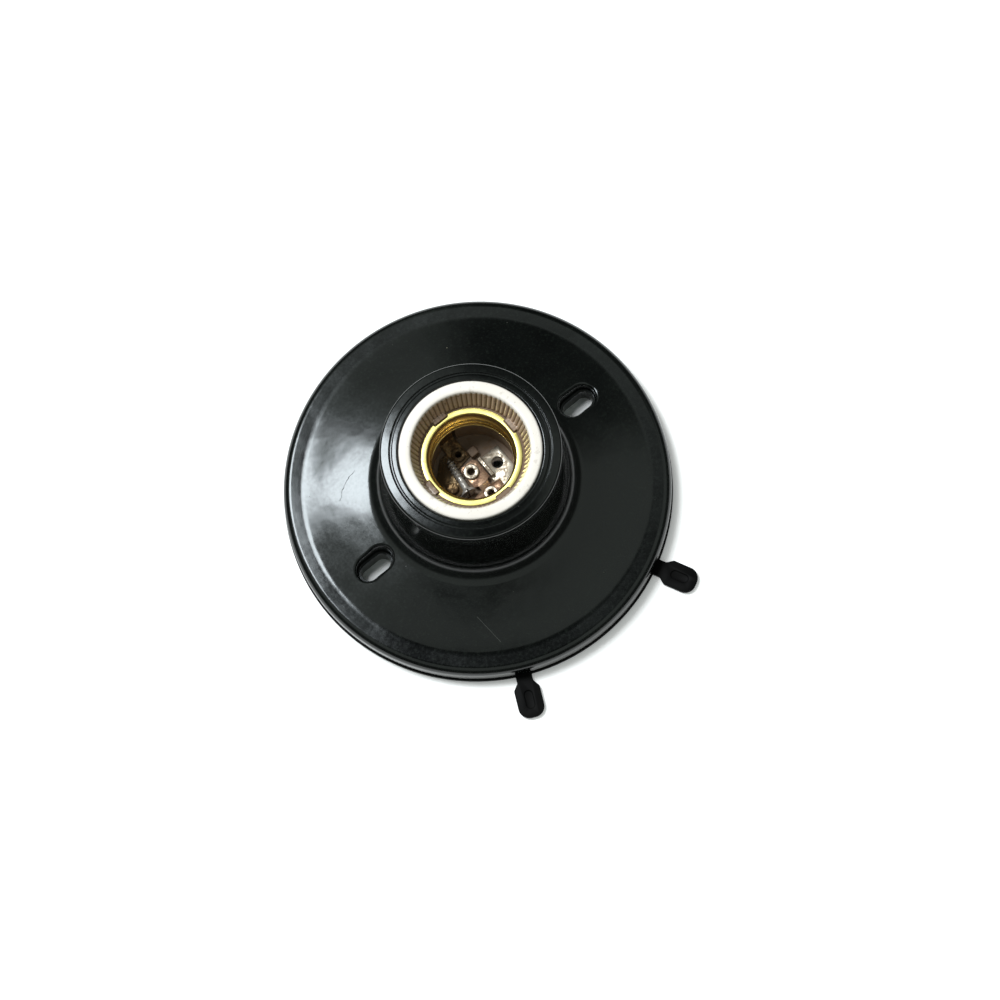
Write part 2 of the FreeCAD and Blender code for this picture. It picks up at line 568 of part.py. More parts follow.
def centre_contact():
    """Bent strip: side profile across the whole width, then trimmed to its blank."""
    piece = body("centre_contact")
    side = sketch(piece, "side_section", "YZ_Plane")
    outline(side, [
        ("foot_end", FOOT_LOW),
        ("foot_bend", FOOT_LOW),
        ("contact_bend", "contact_height"),
        ("contact_end", "contact_height"),
        ("contact_end", "contact_height + contact_sheet"),
        ("contact_bend - contact_sheet / 4", "contact_height + contact_sheet"),
        ("foot_bend - contact_sheet / 4", FOOT_LOW + " + contact_sheet"),
        ("foot_end", FOOT_LOW + " + contact_sheet"),
    ])
    feature(piece, "Pad", "strip", side, Length="foot_half * 2", Midplane=True)
    doc.recompute()
    for name, sign in (("right", ""), ("left", "-")):
        trim = sketch(piece, name + "_trim_outline", "XY_Plane", "contact_height + contact_sheet * 2")
        outline(trim, [
            (sign + "(foot_half + overshoot)", "foot_bend"),
            (sign + "tongue_half", "foot_bend + contact_sheet"),
            (sign + "tongue_half", "contact_bend"),
            (sign + "contact_half", "contact_bend + contact_sheet"),
            (sign + "contact_half", "contact_end - contact_half / 3"),
            (sign + "(contact_half * 2 / 3)", "contact_end"),
            (sign + "(contact_half * 2 / 3)", "contact_end + overshoot"),
            (sign + "(foot_half + overshoot)", "contact_end + overshoot"),
        ])
        cut(piece, name + "_trim", trim, "contact_height + contact_sheet * 2 - floor_height")
    for name, radius, across, along in (("rivet", "foot_hole", "0", "contact_rivet_y"),
                                        ("button", "button_shank", "button_x", "button_y")):
        hole = sketch(piece, name + "_hole_outline", "XY_Plane", "contact_height + contact_sheet * 2")
        circle(hole, radius, across, along)
        cut(piece, name + "_hole", hole, "contact_height + contact_sheet * 2 - floor_height")
    dimple = sketch(piece, "dimple_outline", "XY_Plane", FOOT_LOW + " + contact_sheet")
    circle(dimple, "dimple_radius", "dimple_x", "dimple_y")
    feature(piece, "Pad", "dimple", dimple, Length="contact_sheet / 2")
    doc.recompute()
    return piece


def place(piece, x, y, z="0"):
    for axis, expression in (("x", x), ("y", y), ("z", z)):
        if expression != "0":
            bind(piece, "Placement.Base." + axis, expression)


def contact_button():
    """Raised eyelet, turned about its own axis and set in the tongue's hole."""
    piece = body("contact_button")
    top = "contact_height + contact_sheet"
    turned(piece, "eyelet", [
        ("button_bore", "contact_height - button_foot_height"),
        ("button_foot", "contact_height - button_foot_height"),
        ("button_foot", "contact_height"),
        ("button_shank", "contact_height"),
        ("button_shank", top),
        ("button_radius", top),
        ("button_radius", top + " + button_height - button_ease"),
        ("button_radius - button_ease", top + " + button_height"),
        ("button_bore", top + " + button_height"),
    ])
    place(piece, "button_x", "button_y")
    return piece


def hollow_rivet(label, along, head_low):
    """Tubular rivet with a rolled head on top and a flared tail on the washer behind the floor."""
    piece = body(label)
    tail = "recess_top - washer_height"
    turned(piece, "tube", [
        ("rivet_bore", tail + " - rivet_head_height"),
        ("rivet_head - rivet_ease", tail + " - rivet_head_height"),
        ("rivet_head", tail),
        ("rivet_radius", tail),
        ("rivet_radius", head_low),
        ("rivet_head", head_low),
        ("rivet_head - rivet_ease", head_low + " + rivet_head_height"),
        ("rivet_bore", head_low + " + rivet_head_height"),
    ])
    place(piece, "0", along)
    return piece


def washer(label, bore, radius, low, along):
    piece = body(label)
    turned(piece, "disc", [
        (bore, low), (radius, low), (radius, low + " + washer_height"), (bore, low + " + washer_height"),
    ])
    place(piece, "0", along)
    return piece


def slot_head(piece, radius, height, upwards=False):
    """Straight driver slot across a screw's head."""
    driver = sketch(piece, "driver_outline", "XY_Plane", height)
    reach = "(" + radius + " + overshoot)"
    rectangle(driver, "-" + reach, "-driver_slot / 2", reach, "driver_slot / 2")
    cut(piece, "driver_slot", driver, "driver_depth", upwards)


def neutral_screw():
    piece = body("neutral_screw")
    turned(piece, "blank", [
        ("0", "screw_tip"),
        ("screw_shank", "screw_tip"),
        ("screw_shank", PLATE_TOP),
        ("screw_head_radius", PLATE_TOP),
        ("screw_head_radius", PLATE_TOP + " + screw_head_height - screw_ease"),
        ("screw_head_radius - screw_ease", PLATE_TOP + " + screw_head_height"),
        ("0", PLATE_TOP + " + screw_head_height"),
    ])
    doc.recompute()
    slot_head(piece, "screw_head_radius", PLATE_TOP + " + screw_head_height")
    place(piece, "screw_x", "screw_y")
    return piece


def core_screw(label, along):
    """Pan head screw from behind, through the porcelain ear into the housing's boss."""
    piece = body(label)
    seat = "core_bottom - washer_height"
    turned(piece, "blank", [
        ("0", seat + " - core_screw_head_height"),
        ("core_screw_head - screw_ease", seat + " - core_screw_head_height"),
        ("core_screw_head", seat + " - core_screw_head_height + screw_ease"),
        ("core_screw_head", seat),
        ("core_screw_shank", seat),
        ("core_screw_shank", EAR_TOP + " + core_screw_grip"),
        ("0", EAR_TOP + " + core_screw_grip"),
    ])
    doc.recompute()
    slot_head(piece, "core_screw_head", seat + " - core_screw_head_height", upwards=True)
    place(piece, "0", along)
    return piece


def loose_screw():
    """Tapered wood screw drawn along its own axis, tip at the origin, then laid on the plates."""
    piece = body("loose_screw")
    turned(piece, "blank", [
        ("0", "0"),
        ("loose_tip", "0"),
        ("loose_root", "loose_length"),
        ("loose_head", "loose_length + loose_head_height"),
        ("loose_head", "loose_length + loose_head_height + loose_head_edge"),
        ("0", "loose_length + loose_head_height + loose_head_edge"),
    ])
    doc.recompute()
    slot_head(piece, "loose_head", "loose_length + loose_head_height + loose_head_edge")
    run = number("loose_length + loose_head_height")
    rise = number("floor_height + loose_head - loose_tip") - number(PLATE_TOP)
    tilt = math.degrees(math.asin(rise / run))
    heading = number("loose_angle")
    turn = FreeCAD.Rotation(FreeCAD.Vector(0, 0, 1), -heading).multiply(
        FreeCAD.Rotation(FreeCAD.Vector(1, 0, 0), -(90 - tilt)))
    rest = number(PLATE_TOP + " + loose_tip + loose_rest")
    piece.Placement = FreeCAD.Placement(
        FreeCAD.Vector(number("loose_tip_x"), number("loose_tip_y"), rest), turn)
    return piece


housing()
backing_ring()
porcelain_core()
screw_shell()
shell_strap()
neutral_plate()
line_plate()
centre_contact()
contact_button()
hollow_rivet("contact_rivet", "contact_rivet_y", FOOT_LOW + " + contact_sheet + contact_rivet_lift")
hollow_rivet("shell_rivet", "shell_rivet_y", PLATE_TOP + " + strap")
washer("contact_washer", "rivet_hole", "washer_radius", "recess_top - washer_height", "contact_rivet_y")
washer("shell_washer", "rivet_hole", "washer_radius", "recess_top - washer_height", "shell_rivet_y")
neutral_screw()
for index, sign in enumerate(("", "-"), start=1):
    core_screw("core_screw_%d" % index, sign + CORE_SCREW)
    washer("core_washer_%d" % index, "core_screw_shank + washer_gap", "core_washer_radius",
           "core_bottom - washer_height", sign + CORE_SCREW)
loose_screw()

doc.recompute()
for item in doc.Objects:
    if "Invalid" in item.State or "Error" in item.State:
        raise ValueError(item.Name + " failed: " + ", ".join(item.State))
os.makedirs("parts", exist_ok=True)
for piece in PARTS:
    if piece.Shape.isNull() or not piece.Shape.isValid():
        raise ValueError(piece.Label + " has no valid shape")
    piece.Shape.exportStep(os.path.join("parts", piece.Label + ".step"))
    print("%-16s solids %d volume %9.2f" % (piece.Label, len(piece.Shape.Solids), piece.Shape.Volume))
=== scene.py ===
import math

import bpy
from mathutils import Matrix, Vector


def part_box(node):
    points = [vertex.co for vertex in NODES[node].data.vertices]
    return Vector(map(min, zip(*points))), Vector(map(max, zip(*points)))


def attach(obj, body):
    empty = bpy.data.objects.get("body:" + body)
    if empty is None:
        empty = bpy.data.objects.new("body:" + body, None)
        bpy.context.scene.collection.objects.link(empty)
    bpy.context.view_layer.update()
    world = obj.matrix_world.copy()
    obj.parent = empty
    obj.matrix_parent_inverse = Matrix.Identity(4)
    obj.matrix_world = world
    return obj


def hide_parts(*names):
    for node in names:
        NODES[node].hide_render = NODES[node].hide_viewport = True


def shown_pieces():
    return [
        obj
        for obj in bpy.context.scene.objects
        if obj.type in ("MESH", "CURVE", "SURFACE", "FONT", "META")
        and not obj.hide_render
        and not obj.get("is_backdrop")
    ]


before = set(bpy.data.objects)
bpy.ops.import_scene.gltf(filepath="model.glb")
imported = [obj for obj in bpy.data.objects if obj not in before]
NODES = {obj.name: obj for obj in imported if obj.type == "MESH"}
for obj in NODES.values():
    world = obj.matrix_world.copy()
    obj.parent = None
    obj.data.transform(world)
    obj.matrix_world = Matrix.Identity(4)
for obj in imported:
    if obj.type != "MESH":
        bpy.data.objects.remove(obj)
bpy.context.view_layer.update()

# A black moulded batten lamp holder, dressed around its solids. Metres, with sizes named in millimetres.
MM = 0.001
HOLDER = "holder"
CONTACT = "contact"


def low(node):
    """Lowest corner of a node, in millimetres."""
    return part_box(node)[0] / MM


def high(node):
    """Highest corner of a node, in millimetres."""
    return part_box(node)[1] / MM


def middle(node):
    """Where the upright axis of a node stands, to a tenth of a millimetre."""
    corners = low(node) + high(node)
    return round(corners.x / 2, 1), round(corners.y / 2, 1)


# Places read from the frame
RIM_RADIUS = high("housing").x
SOCKET_TOP = high("porcelain_core").z
RING_TOP = high("backing_ring").z
CORE_LOW = low("porcelain_core").z
LIP_RADIUS = high("screw_shell").x
LIP_TOP = high("screw_shell").z
SHELL_LOW = low("screw_shell").z
FLOOR = low("neutral_plate").z
PLATE_TOP = high("neutral_plate").z
CONTACT_RIVET = middle("contact_rivet")
SHELL_RIVET = middle("shell_rivet")
BUTTON = middle("contact_button")
PLATE_SCREW = middle("neutral_screw")
EAR_SCREW = middle("core_screw_1")[1]

# Sizes that the finishes share with the pieces
FLUTES = 72
FUNNEL_EDGE = SOCKET_TOP - 1.2


# ---------------------------------------------------------------- modelling

def alone(piece):
    """Select one piece and nothing else, for the next operator."""
    bpy.ops.object.select_all(action="DESELECT")
    piece.select_set(True)
    bpy.context.view_layer.objects.active = piece


def arc_corner(before, corner, after, radius, parts):
    """Points of the arc that rounds one corner of an outline, in so many parts."""
    here = Vector(corner)
    back, ahead = (Vector(before) - here).normalized(), (Vector(after) - here).normalized()
    half = back.angle(ahead) / 2
    centre = here + (back + ahead).normalized() * radius / math.sin(half)
    start, end = here + back * radius / math.tan(half), here + ahead * radius / math.tan(half)
    turn = (start - centre).angle_signed(end - centre)
    return [centre + Matrix.Rotation(-turn * part / parts, 2) @ (start - centre) for part in range(parts + 1)]


def section(corners):
    """Outline from corners (radius, height), or (radius, height, rounding, parts) where one is rounded."""
    points = []
    for index, corner in enumerate(corners):
        if len(corner) > 2:
            before, after = corners[index - 1][:2], corners[(index + 1) % len(corners)][:2]
            points += arc_corner(before, corner[:2], after, *corner[2:])
        else:
            points.append(Vector(corner))
    return points + [points[0]]


def turned(name, points, sides, centre=(0, 0)):
    """Line extruded from point to point and spun about an upright axis."""
    bpy.ops.object.select_all(action="DESELECT")
    first = points[0]
    bpy.ops.mesh.primitive_plane_add(size=MM, location=(0, 0, 0))
    piece = bpy.context.object
    piece.name = piece.data.name = name
    bpy.ops.object.mode_set(mode="EDIT")
    bpy.ops.mesh.merge(type="CENTER")
    bpy.ops.transform.translate(value=(first.x * MM, 0, first.y * MM))
    for here, there in zip(points, points[1:]):
        step = ((there.x - here.x) * MM, 0, (there.y - here.y) * MM)
        bpy.ops.mesh.extrude_region_move(TRANSFORM_OT_translate={"value": step})
    bpy.ops.mesh.select_all(action="SELECT")
    bpy.ops.mesh.spin(steps=sides, angle=2 * math.pi, center=(0, 0, 0), axis=(0, 0, 1))
    bpy.ops.mesh.select_all(action="SELECT")
    bpy.ops.mesh.remove_doubles(threshold=0.002 * MM)
    bpy.ops.mesh.normals_make_consistent(inside=False)
    bpy.ops.transform.translate(value=(centre[0] * MM, centre[1] * MM, 0))
    bpy.ops.object.mode_set(mode="OBJECT")
    return piece


def smooth(piece, angle=35):
    """Smooth shading, but sharp along edges that turn more than an angle."""
    alone(piece)
    bpy.ops.object.shade_smooth_by_angle(angle=math.radians(angle))
    return piece


def cut(piece, tool, operation="DIFFERENCE"):
    """Boolean with a second solid, which is used up."""
    alone(piece)
    made = piece.modifiers.new("cut", "BOOLEAN")
    made.operation, made.solver, made.object = operation, "EXACT", tool
    bpy.ops.object.modifier_apply(modifier=made.name)
    bpy.data.objects.remove(tool)
    return piece


def bevelled(piece, width, segments=2, angle=40):
    """Round every edge that is sharper than an angle."""
    alone(piece)
    made = piece.modifiers.new("edges", "BEVEL")
    made.width, made.segments, made.limit_method = width * MM, segments, "ANGLE"
    made.angle_limit = math.radians(angle)
    bpy.ops.object.modifier_apply(modifier=made.name)
    return piece


def block(name, centre, size):
    """Box solid at its place."""
    bpy.ops.object.select_all(action="DESELECT")
    bpy.ops.mesh.primitive_cube_add(size=1, location=[place * MM for place in centre])
    piece = bpy.context.object
    piece.name = piece.data.name = name
    piece.scale = [side * MM for side in size]
    bpy.ops.object.transform_apply(location=True, rotation=True, scale=True)
    return piece


def post(name, radius, centre, bottom, top, sides=48):
    """Upright cylinder at its place."""
    bpy.ops.object.select_all(action="DESELECT")
    bpy.ops.mesh.primitive_cylinder_add(vertices=sides, radius=radius * MM, depth=(top - bottom) * MM,
                                        location=(centre[0] * MM, centre[1] * MM, (top + bottom) / 2 * MM))
    piece = bpy.context.object
    piece.name = piece.data.name = name
    bpy.ops.object.transform_apply(location=True, rotation=True, scale=True)
    return piece


def copied(node, width):
    """Merged copy of a node's mesh with its flats cleaned up and its edges softened."""
    source = NODES[node]
    piece = bpy.data.objects.new(node + "_dressed", source.data.copy())
    bpy.context.scene.collection.objects.link(piece)
    piece.data.materials.clear()
    alone(piece)
    bpy.ops.object.mode_set(mode="EDIT")
    bpy.ops.mesh.select_all(action="SELECT")
    bpy.ops.mesh.remove_doubles(threshold=0.001 * MM)
    bpy.ops.mesh.dissolve_limited(angle_limit=math.radians(1))
    bpy.ops.object.mode_set(mode="OBJECT")
    return smooth(bevelled(piece, width, angle=30))


def dress(piece, body, slot, node):
    """Give a piece its finish and the body that it rides on, and hide the node that it stands for."""
    piece.data.materials.clear()
    piece.data.materials.append(FINISHES[slot])
    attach(piece, body)
    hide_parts(node)


def reshape(piece, move):
    """Shift every corner of a mesh by a formula of its place, in millimetres."""
    for vertex in piece.data.vertices:
        vertex.co = Vector(move(vertex.co / MM)) * MM
    piece.data.update()
    return piece


def merged(piece, distance):
    """Close what a boolean left open by a hair."""
    alone(piece)
    bpy.ops.object.mode_set(mode="EDIT")
    bpy.ops.mesh.select_all(action="SELECT")
    bpy.ops.mesh.remove_doubles(threshold=distance * MM)
    bpy.ops.object.mode_set(mode="OBJECT")
    return piece


def weighted(piece):
    """Shading that follows the large faces, so that flats stay flat beside rounded edges."""
    alone(piece)
    made = piece.modifiers.new("weights", "WEIGHTED_NORMAL")
    made.keep_sharp, made.weight = True, 60
    bpy.ops.object.modifier_apply(modifier=made.name)
    return piece


def stretched(piece, centre, reach):
    """Pull the two halves of a round tool apart along X, which makes it a slot tool."""
    return reshape(piece, lambda at: (at.x + math.copysign(reach, at.x - centre), at.y, at.z))


def ease(share):
    """Soft change from 0 to 1 as a share of the way goes from 0 to 1."""
    share = min(max(share, 0.0), 1.0)
    return share * share * (3 - 2 * share)


# ---------------------------------------------------------------- shader maths

class Shade:
    """A socket of a material, with its arithmetic written as Python."""

    def __init__(self, socket):
        self.socket = socket
        self.tree = socket.id_data

    def node(self, kind, settings=None, output=0, **values):
        """Any other node: its settings, then its sockets by name, with _ for a space, or by number as i0."""
        made = self.tree.nodes.new("ShaderNode" + kind)
        for name, setting in (settings or {}).items():
            if name == "stops":
                for index, (place, tint) in enumerate(setting):
                    stop = made.color_ramp.elements[index]
                    stop.position, stop.color = place, (*tint, 1)
            else:
                setattr(made, name, setting)
        for name, value in values.items():
            key = int(name[1:]) if name[0] == "i" and name[1:].isdigit() else name.replace("_", " ")
            self.feed(value, made.inputs[key])
        return Shade(made.outputs[output])

    def feed(self, value, socket):
        """Link a shade to a socket, or set a plain value on it."""
        if isinstance(value, Shade):
            self.tree.links.new(value.socket, socket)
        elif isinstance(value, tuple) and len(value) == 3 and socket.type == "RGBA":
            socket.default_value = (*value, 1)
        else:
            socket.default_value = value

    def maths(self, operation, *others):
        """One Math node with this value first."""
        return self.node("Math", {"operation": operation},
                         **{"i%d" % index: value for index, value in enumerate((self, *others))})

    def __add__(self, other):
        return self.maths("ADD", other)

    def __sub__(self, other):
        return self.maths("SUBTRACT", other)

    def __mul__(self, other):
        return self.maths("MULTIPLY", other)

    def __truediv__(self, other):
        return self.maths("DIVIDE", other)

    def __rsub__(self, other):
        return (self * -1.0).maths("ADD", other)

    __radd__ = __add__
    __rmul__ = __mul__

    def above(self, edge, width):
        """1 where the value is past an edge, 0 below it, with a soft change of a width."""
        return self.node("MapRange", {"interpolation_type": "SMOOTHSTEP"}, Value=self,
                         From_Min=edge - width / 2, From_Max=edge + width / 2)

    def noise(self, scale, detail=4.0, roughness=0.55):
        """Noise with a grain of about 1 / scale metres."""
        return self.node("TexNoise", Vector=self, Scale=scale, Detail=detail, Roughness=roughness)

    def tint(self, *stops):
        """Two colours with a soft change between two places of this value."""
        return self.node("ValToRGB", {"stops": stops}, Fac=self)

    def over(self, ground, top):
        """Two colours, the top one where this mask is 1."""
        return self.node("Mix", {"data_type": "RGBA"}, 2, i0=self, i6=ground, i7=top)

    def parts(self):
        """The three components of a vector."""
        made = self.tree.nodes.new("ShaderNodeSeparateXYZ")
        self.tree.links.new(self.socket, made.inputs[0])
        return [Shade(out) for out in made.outputs]


def finish(name, metallic=0.0, specular=0.5):
    """New material: its shader and the place on the piece."""
    material = bpy.data.materials.new(name)
    material.use_nodes = True
    shader = material.node_tree.nodes["Principled BSDF"]
    shader.inputs["Metallic"].default_value = metallic
    shader.inputs["Specular IOR Level"].default_value = specular
    place = Shade(material.node_tree.nodes.new("ShaderNodeTexCoord").outputs["Object"])
    return material, shader, place


def surface(shader, colour, roughness):
    """Colour and roughness of a finish."""
    colour.feed(colour, shader.inputs["Base Color"])
    colour.feed(roughness, shader.inputs["Roughness"])


def relief(shader, height, strength, depth):
    """Fine relief of a finish, with its depth in millimetres."""
    bump = height.node("Bump", Strength=strength, Distance=depth * MM, Height=height)
    bump.feed(bump, shader.inputs["Normal"])


def stroke(place, start, end, width, wobble):
    """Mask of a thin uneven line on the upper faces, between two places in millimetres."""
    x, y, z = place.parts()
    along = Vector(end) - Vector(start)
    length = along.length * MM
    along.normalize()
    shift = (place.noise(900.0, 2.0) - 0.5) * (wobble * MM)
    x, y = x + shift - start[0] * MM, y - shift - start[1] * MM
    run = x * along.x + y * along.y
    off = (x * along.y - y * along.x).maths("ABSOLUTE")
    inside = (1.0 - off.above(width * MM, width * MM)) * run.above(0.0, width * MM)
    return inside * (1.0 - run.above(length, width * MM))


def spot(place, centre, radius, soft):
    """Mask of a round patch at a place in millimetres."""
    distance = place.node("VectorMath", {"operation": "DISTANCE"}, 1, i0=place,
                          i1=tuple(value * MM for value in centre))
    return 1.0 - distance.above(radius * MM, soft * MM)


def specks(place, scale, share, size):
    """Scattered small specks: cells whose own random number is high, near the middle of the cell."""
    distance = place.node("TexVoronoi", None, 0, Vector=place, Scale=scale)
    colour = place.node("TexVoronoi", None, 1, Vector=place, Scale=scale)
    chosen = colour.node("SeparateColor", None, 0, Color=colour).above(1.0 - share, 0.02)
    return chosen * (1.0 - distance.above(size, size))


# ---------------------------------------------------------------- finishes

CRACK = ((-26.2, 26.6), (-31.6, 25.2), (-35.6, 22.2))
SCRATCH = ((-26.6, -32.7), (-25.8, -43.0))
PALE_BITS = ((20.2, 39.1, 10.4), (-17.7, -37.0, 11.0))


def black_phenolic():
    """Gloss black moulding with dust, a short crack and a scratch in the dish."""
    material, shader, place = finish("black_phenolic", specular=0.55)
    cloud = place.noise(60.0, 5.0, 0.6)
    fine = place.noise(1100.0, 3.0, 0.7)
    dust = specks(place, 600.0, 0.02, 0.1)
    crack = stroke(place, CRACK[0], CRACK[1], 0.035, 1.0)
    crack = crack.maths("MAXIMUM", stroke(place, CRACK[1], CRACK[2], 0.035, 1.0))
    scratch = stroke(place, *SCRATCH, 0.08, 0.3)
    bits = spot(place, PALE_BITS[0], 0.22, 0.2).maths("MAXIMUM", spot(place, PALE_BITS[1], 0.2, 0.2))
    ground = cloud.tint((0.3, (0.0015, 0.0017, 0.0018)), (0.75, (0.005, 0.006, 0.0052)))
    ground = fine.above(0.62, 0.2).over(ground, (0.009, 0.012, 0.009))
    ground = (dust * 0.3).over(ground, (0.20, 0.18, 0.15))
    ground = (crack * 0.5).over(ground, (0.004, 0.003, 0.002))
    ground = (scratch * 0.2).over(ground, (0.28, 0.27, 0.25))
    ground = (bits * 0.7).over(ground, (0.75, 0.66, 0.50))
    dull = cloud.above(0.5, 0.5) * 0.06 + fine.above(0.5, 0.3) * 0.03
    surface(shader, ground, 0.12 + dull + dust * 0.4 + crack * 0.5)
    swell = place.noise(45.0, 2.0, 0.5) * 1.15 + place.noise(150.0, 2.0) * 0.22
    height = swell + place.noise(620.0, 3.0) * 0.022
    relief(shader, height - crack * 0.2 - scratch * 0.08, 0.5, 0.42)
    return material


def ring_rubber():
    """Dull black sheet rubber with dust."""
    material, shader, place = finish("ring_rubber", specular=0.07)
    cloud = place.noise(120.0, 5.0, 0.65)
    fine = place.noise(2200.0, 2.0)
    dust = specks(place, 900.0, 0.06, 0.14)
    ground = cloud.tint((0.35, (0.0012, 0.0012, 0.0014)), (0.7, (0.0040, 0.0038, 0.0036)))
    surface(shader, (dust * 0.3).over(ground, (0.22, 0.20, 0.16)), 0.5 + cloud * 0.18)
    relief(shader, fine * 0.5 + cloud * 0.5, 0.35, 0.06)
    return material


def glazed_porcelain():
    """Warm white glaze: brown down the funnel, partly stain and partly painted shade on the wall that faces
    away from the light, painted shade in the flute grooves, and dark brown inside the bore.
    """
    material, shader, place = finish("glazed_porcelain")
    x, y, z = place.parts()
    height = z / MM
    radius = (x * x + y * y).maths("SQRT") / MM
    cloud = place.noise(90.0, 5.0, 0.6)
    grime = place.noise(420.0, 4.0, 0.7)
    speck = specks(place, 520.0, 0.07, 0.20)
    inside = (1.0 - height.above(39.6, 0.3)) * height.above(FLOOR - 1.5, 1.0)
    inside = inside * (1.0 - radius.above(15.7, 0.3))
    # Brown on the funnel: an even stain all round, plus painted shade that deepens towards the wall facing
    # away from the light.
    side = (x * 0.64 + y * 0.77 + (cloud - 0.5) * 0.012) / MM
    funnel = (1.0 - height.above(FUNNEL_EDGE, 0.8)) * (0.35 + side.above(-6.0, 14.0) * 0.65)
    funnel = funnel * height.above(37.0, 1.0) * (1.0 - radius.above(18.9, 0.4))
    groove = (y.maths("ARCTAN2", x) * (FLUTES / 2)).maths("SINE").maths("ABSOLUTE")
    ground = cloud.tint((0.3, (0.82, 0.755, 0.685)), (0.7, (0.88, 0.825, 0.765)))
    ground = (funnel * 0.9).over(ground, (0.46, 0.31, 0.20))
    # Painted shade in the bottoms of the flute grooves.
    ground = ((1.0 - groove.above(0.45, 0.6)) * funnel * 0.75).over(ground, (0.17, 0.10, 0.055))
    ground = (inside * 0.96).over(ground, (0.13, 0.075, 0.038))
    # Grime patches, heavier inside the bore and on the funnel; on the funnel they also carry the painted
    # shade of the wall facing away from the light.
    grime_and_shade = grime.above(0.62, 0.12) * (0.25 + inside * 0.5 + funnel * 0.4)
    ground = grime_and_shade.over(ground, (0.15, 0.085, 0.04))
    ground = (speck * x.above(0.0, 0.02) * 0.8).over(ground, (0.07, 0.05, 0.04))
    stain = spot(place, (-15.0, 1.5, 39.5), 3.0, 3.0) * grime.above(0.46, 0.2)
    ground = (stain * 0.85).over(ground, (0.13, 0.07, 0.03))
    surface(shader, ground, 0.14 + inside * 0.5 + grime.above(0.6, 0.2) * 0.15)
    relief(shader, place.noise(240.0, 3.0) * 0.5 + grime * 0.2, 0.2, 0.06)
    return material


def worn_metal(name, clean, worn, dark, rough, tarnish, metal=1.0):
    """Sheet or turned metal: its clean colour, its worn colour and the dark tarnish in patches."""
    material, shader, place = finish(name, metallic=1.0)
    cloud = place.noise(260.0, 5.0, 0.65)
    fine = place.noise(900.0, 4.0, 0.7)
    ground = cloud.tint((0.36, clean), (0.62, worn))
    patch = (cloud * 0.5 + fine * 0.5).above(0.5 + (0.5 - tarnish) * 0.3, 0.14)
    place.feed(metal - patch * 0.35, shader.inputs["Metallic"])
    surface(shader, (patch * 0.75).over(ground, dark), rough + patch * 0.3 + fine * 0.08)
    relief(shader, fine * 0.6 + cloud * 0.4, 0.25, 0.05)
    return material


def lamp_brass():
    """Bright lip and crests, brown in the hollows of the thread."""
    material, shader, place = finish("lamp_brass", metallic=1.0)
    x, y, z = place.parts()
    cloud = place.noise(240.0, 4.0, 0.6)
    fine = place.noise(1300.0, 3.0, 0.6)
    radius = (x * x + y * y).maths("SQRT") / MM
    inside = 1.0 - (z / MM).above(LIP_TOP - 0.7, 0.5)
    hollow = inside * radius.above(12.85, 0.5)
    ground = cloud.tint((0.35, (0.60, 0.53, 0.19)), (0.7, (0.52, 0.44, 0.14)))
    ground = (inside * 0.6).over(ground, (0.80, 0.56, 0.22))
    ground = (hollow * 0.75).over(ground, (0.20, 0.11, 0.045))
    spots = fine.above(0.68, 0.08) * cloud.above(0.5, 0.2)
    ground = (spots * 0.6).over(ground, (0.25, 0.14, 0.05))
    surface(shader, ground, 0.36 - inside * 0.1 + hollow * 0.2 + spots * 0.2)
    relief(shader, cloud * 0.7 + fine * 0.2, 0.2, 0.05)
    return material


# Each worn metal: clean colour, worn colour, tarnish colour, roughness, share of tarnish, and for dull
# steel how metallic it is
METALS = {
    "strap_brass": ((0.34, 0.22, 0.11), (0.24, 0.14, 0.07), (0.08, 0.045, 0.02), 0.4, 0.6),
    "aged_plate": ((0.42, 0.30, 0.17), (0.30, 0.19, 0.09), (0.07, 0.045, 0.025), 0.4, 0.65),
    "nickel_plate": ((0.66, 0.61, 0.52), (0.50, 0.44, 0.35), (0.16, 0.11, 0.07), 0.28, 0.46),
    "contact_bronze": ((0.50, 0.34, 0.23), (0.36, 0.22, 0.14), (0.10, 0.05, 0.03), 0.32, 0.5),
    "aged_screw": ((0.40, 0.27, 0.14), (0.28, 0.17, 0.08), (0.07, 0.04, 0.02), 0.4, 0.62),
    "zinc_steel": ((0.60, 0.60, 0.58), (0.50, 0.49, 0.46), (0.22, 0.20, 0.17), 0.3, 0.4),
    "screw_steel": ((0.66, 0.64, 0.61), (0.46, 0.43, 0.40), (0.10, 0.08, 0.06), 0.3, 0.4, 0.62),
}

FINISHES = {
    "phenolic": black_phenolic(),
    "ring_rubber": ring_rubber(),
    "porcelain": glazed_porcelain(),
    "shell_brass": lamp_brass(),
    **{name: worn_metal(name, *look) for name, look in METALS.items()},
}


# ---------------------------------------------------------------- housing

BORE = 21.5
COLLAR = 27.0
COLLAR_TOP = SOCKET_TOP - 1.1
COLLAR_LOW = COLLAR_TOP - 5.5
GROOVE_OUT = BORE + 2.7
GROOVE_IN = BORE + 1.6
GROOVE_SIDE = 0.2
GROOVE_LOW = SOCKET_TOP - 1.1
WAIST = 25.3
HOLLOW = BORE + 3.6
HOLLOW_TOP = 22.0
HOLLOW_LOW = 16.5
SHOULDER = 32.8
RIM_TOP = 8.6
RIM_WIDTH = 5.0
RIM_WALL = 4.2
DISH_EDGE = RIM_RADIUS - RIM_WIDTH
DISH_LOW = RIM_TOP - 0.55
DISH_SLOPE = 0.2243
DISH_DOME = 0.22
DISH_RINGS = [DISH_EDGE - inward for inward in (4.0, 6.5, 9.0, 11.5, 14.0, 16.0, 18.0)]
DISH_WALL = 3.1
NECK_FOOT = 28.8
WELL_AT = 40.0
WELL_RADIUS = 3.8
WELL_HALF = 2.3
WELL_ROUND = 1.1
WELL_SEAT = 6.5
WELL_WALL = 2.0
FIXING_RADIUS = 2.7
FIXING_HALF = 2.4
BOSS_AT = 25.9
BOSS = (6.0, 4.6, 6.9)
BOSS_MIDDLE = 13.6
PILOT = 1.15
PILOT_TOP = 15.6


